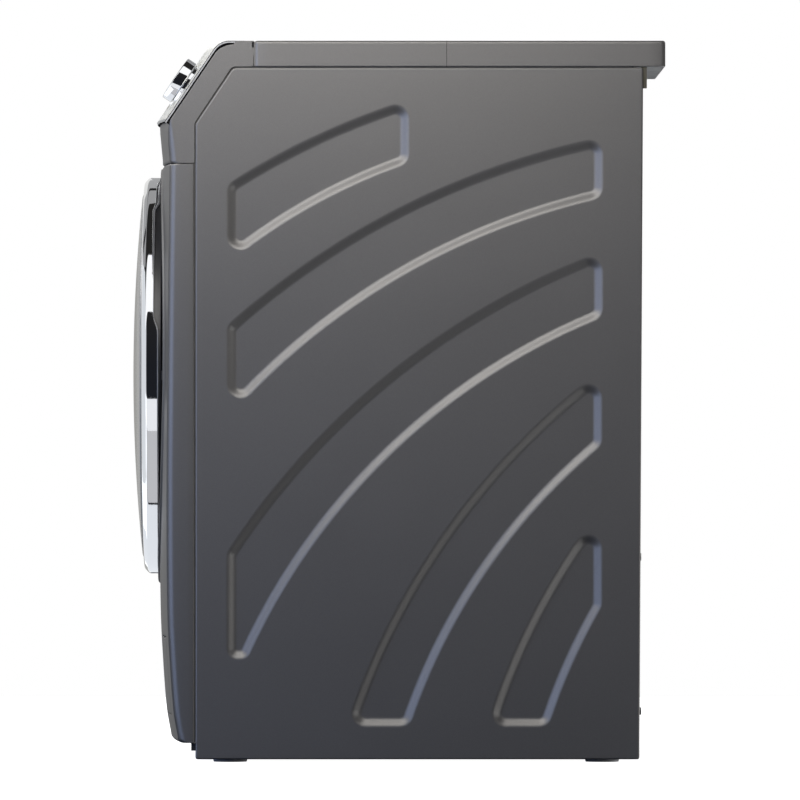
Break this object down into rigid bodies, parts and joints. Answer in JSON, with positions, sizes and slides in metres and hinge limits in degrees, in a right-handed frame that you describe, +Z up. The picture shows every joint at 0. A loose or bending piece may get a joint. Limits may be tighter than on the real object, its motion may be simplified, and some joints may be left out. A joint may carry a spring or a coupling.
{
  "type": "front load washing machine",
  "caption": "Free-standing front-loading washing machine with a bowed front, sloping control panel, round chrome-ringed door and stamped side panels.",
  "frame": {"origin": "floor level under the centre of the overall box", "axes": "+Z up, +X to the right of a person facing the front, front faces -Y"},
  "size_m": [0.6, 0.626, 0.842],
  "materials": {
    "graphite_paint": "satin metallic graphite",
    "galvanised_steel": "dull galvanised",
    "fascia_silver": "satin silver",
    "display_glass": "gloss black",
    "gasket_rubber": "matte grey",
    "die_cast": "as cast",
    "black_plastic": "fine textured black",
    "white_plastic": "moulded off-white",
    "circuit_board": "solder-masked",
    "hose_rubber": "matte black",
    "grey_plastic": "moulded grey",
    "spring_steel": "bright zinc",
    "damper_plastic": "moulded black",
    "foot_rubber": "matte black",
    "tub_plastic": "moulded pale grey",
    "concrete": "cast concrete",
    "motor_casing": "die cast",
    "heater_tube": "dull stainless",
    "drum_steel": "polished stainless",
    "chrome": "mirror chrome",
    "tinted_cover": "smoked silver gloss",
    "door_glass": "clear"
  },
  "bodies": {
    "cabinet": {"side_panel_right": "graphite_paint", "side_panel_left": "graphite_paint", "back_panel": "galvanised_steel", "base_tray": "galvanised_steel", "front_panel": "graphite_paint", "control_housing": "graphite_paint", "control_fascia": "fascia_silver", "display_window": "display_glass", "top_plate": "graphite_paint", "rear_clips": "galvanised_steel", "cross_braces": "galvanised_steel", "door_gasket": "gasket_rubber", "hinge_bracket": "die_cast", "door_lock": "black_plastic", "dispenser_housing": "white_plastic", "inlet_valve": "white_plastic", "control_board": "circuit_board", "drain_pump": "white_plastic", "drain_hose": "hose_rubber", "sump_hose": "hose_rubber", "fill_hose": "hose_rubber", "transit_caps": "grey_plastic", "mains_gland": "black_plastic", "suspension_springs": "spring_steel", "damper_cylinders": "damper_plastic", "cabinet_screws": "spring_steel"},
    "tub": {"tub_front": "tub_plastic", "tub_rear": "tub_plastic", "front_counterweight": "concrete", "top_counterweight": "concrete", "drum_bearings": "spring_steel", "shaft_seal": "hose_rubber", "motor_housing": "motor_casing", "drive_belt": "hose_rubber", "heater": "heater_tube", "damper_rods": "spring_steel"},
    "drum": {"drum_shell": "drum_steel", "drum_spider": "die_cast", "drum_lifters": "white_plastic", "drum_shaft": "spring_steel", "drum_pulley": "die_cast"},
    "motor_rotor": {"motor_pulley": "spring_steel"},
    "door": {"door_ring": "chrome", "door_cover": "tinted_cover", "door_frame": "black_plastic", "door_glass": "door_glass", "door_hinge_arm": "die_cast"},
    "door_hook": {"door_hook": "spring_steel"},
    "drawer": {"drawer_front": "fascia_silver", "drawer_tray": "white_plastic"},
    "knob": {"program_knob": "chrome"},
    "power_button": {"power_button": "chrome"},
    "start_button": {"start_button": "chrome"},
    "flap": {"service_flap": "graphite_paint"},
    "filter": {"pump_filter": "grey_plastic"},
    "impeller": {"pump_impeller": "white_plastic"},
    "foot_front_left": {"foot_front_left": "foot_rubber"},
    "foot_front_right": {"foot_front_right": "foot_rubber"},
    "foot_rear_left": {"foot_rear_left": "foot_rubber"},
    "foot_rear_right": {"foot_rear_right": "foot_rubber"}
  },
  "joints": [
    {"name": "tub_bounce", "type": "slide", "parent": "cabinet", "child": "tub", "axis": [0, 0, 1], "range_m": [-0.009, 0.009], "stiffness_N_per_m": 16000, "springref_m": 0.01591, "deforming": ["suspension_springs", "door_gasket", "sump_hose", "fill_hose"]},
    {"name": "drum_spin", "type": "hinge", "parent": "tub", "child": "drum", "pos_m": [0, 0, 0.452], "axis": [0, 1, 0], "continuous": true},
    {"name": "motor_spin", "type": "hinge", "parent": "tub", "child": "motor_rotor", "pos_m": [-0.06, 0, 0.122], "axis": [0, 1, 0], "continuous": true},
    {"name": "door_swing", "type": "hinge", "parent": "cabinet", "child": "door", "pos_m": [-0.244, -0.2845, 0.452], "axis": [0, 0, -1], "range_deg": [0, 150]},
    {"name": "door_latch", "type": "hinge", "parent": "door", "child": "door_hook", "pos_m": [0.213, -0.283, 0.452], "axis": [0, 0, 1], "range_deg": [-4, 4], "stiffness_Nm_per_rad": 0.2},
    {"name": "drawer_slide", "type": "slide", "parent": "cabinet", "child": "drawer", "axis": [0, -1, 0], "range_m": [0, 0.15]},
    {"name": "knob_turn", "type": "hinge", "parent": "cabinet", "child": "knob", "pos_m": [0.245, -0.24656, 0.79162], "axis": [0, -0.829, 0.5592], "continuous": true},
    {"name": "power_press", "type": "slide", "parent": "cabinet", "child": "power_button", "axis": [0, 0.829, -0.5592], "range_m": [0, 0.0015], "stiffness_N_per_m": 800, "springref_m": -0.0005},
    {"name": "start_press", "type": "slide", "parent": "cabinet", "child": "start_button", "axis": [0, 0.829, -0.5592], "range_m": [0, 0.0015], "stiffness_N_per_m": 800, "springref_m": -0.0005},
    {"name": "flap_drop", "type": "hinge", "parent": "cabinet", "child": "flap", "pos_m": [0.21, -0.266, 0.06], "axis": [1, 0, 0], "range_deg": [0, 90]},
    {"name": "filter_turn", "type": "hinge", "parent": "cabinet", "child": "filter", "pos_m": [0.21, -0.2, 0.1], "axis": [0, -1, 0], "range_deg": [0, 90]},
    {"name": "impeller_spin", "type": "hinge", "parent": "cabinet", "child": "impeller", "pos_m": [0.21, -0.12, 0.1], "axis": [0, 1, 0], "continuous": true},
    {"name": "foot_front_left_screw", "type": "slide", "parent": "cabinet", "child": "foot_front_left", "axis": [0, 0, -1], "range_m": [0, 0.012]},
    {"name": "foot_front_right_screw", "type": "slide", "parent": "cabinet", "child": "foot_front_right", "axis": [0, 0, -1], "range_m": [0, 0.012]},
    {"name": "foot_rear_left_screw", "type": "slide", "parent": "cabinet", "child": "foot_rear_left", "axis": [0, 0, -1], "range_m": [0, 0.012]},
    {"name": "foot_rear_right_screw", "type": "slide", "parent": "cabinet", "child": "foot_rear_right", "axis": [0, 0, -1], "range_m": [0, 0.012]}
  ],
  "couplings": [
    {"joint": "motor_spin", "follows": "drum_spin", "ratio": 13.81}
  ]
}
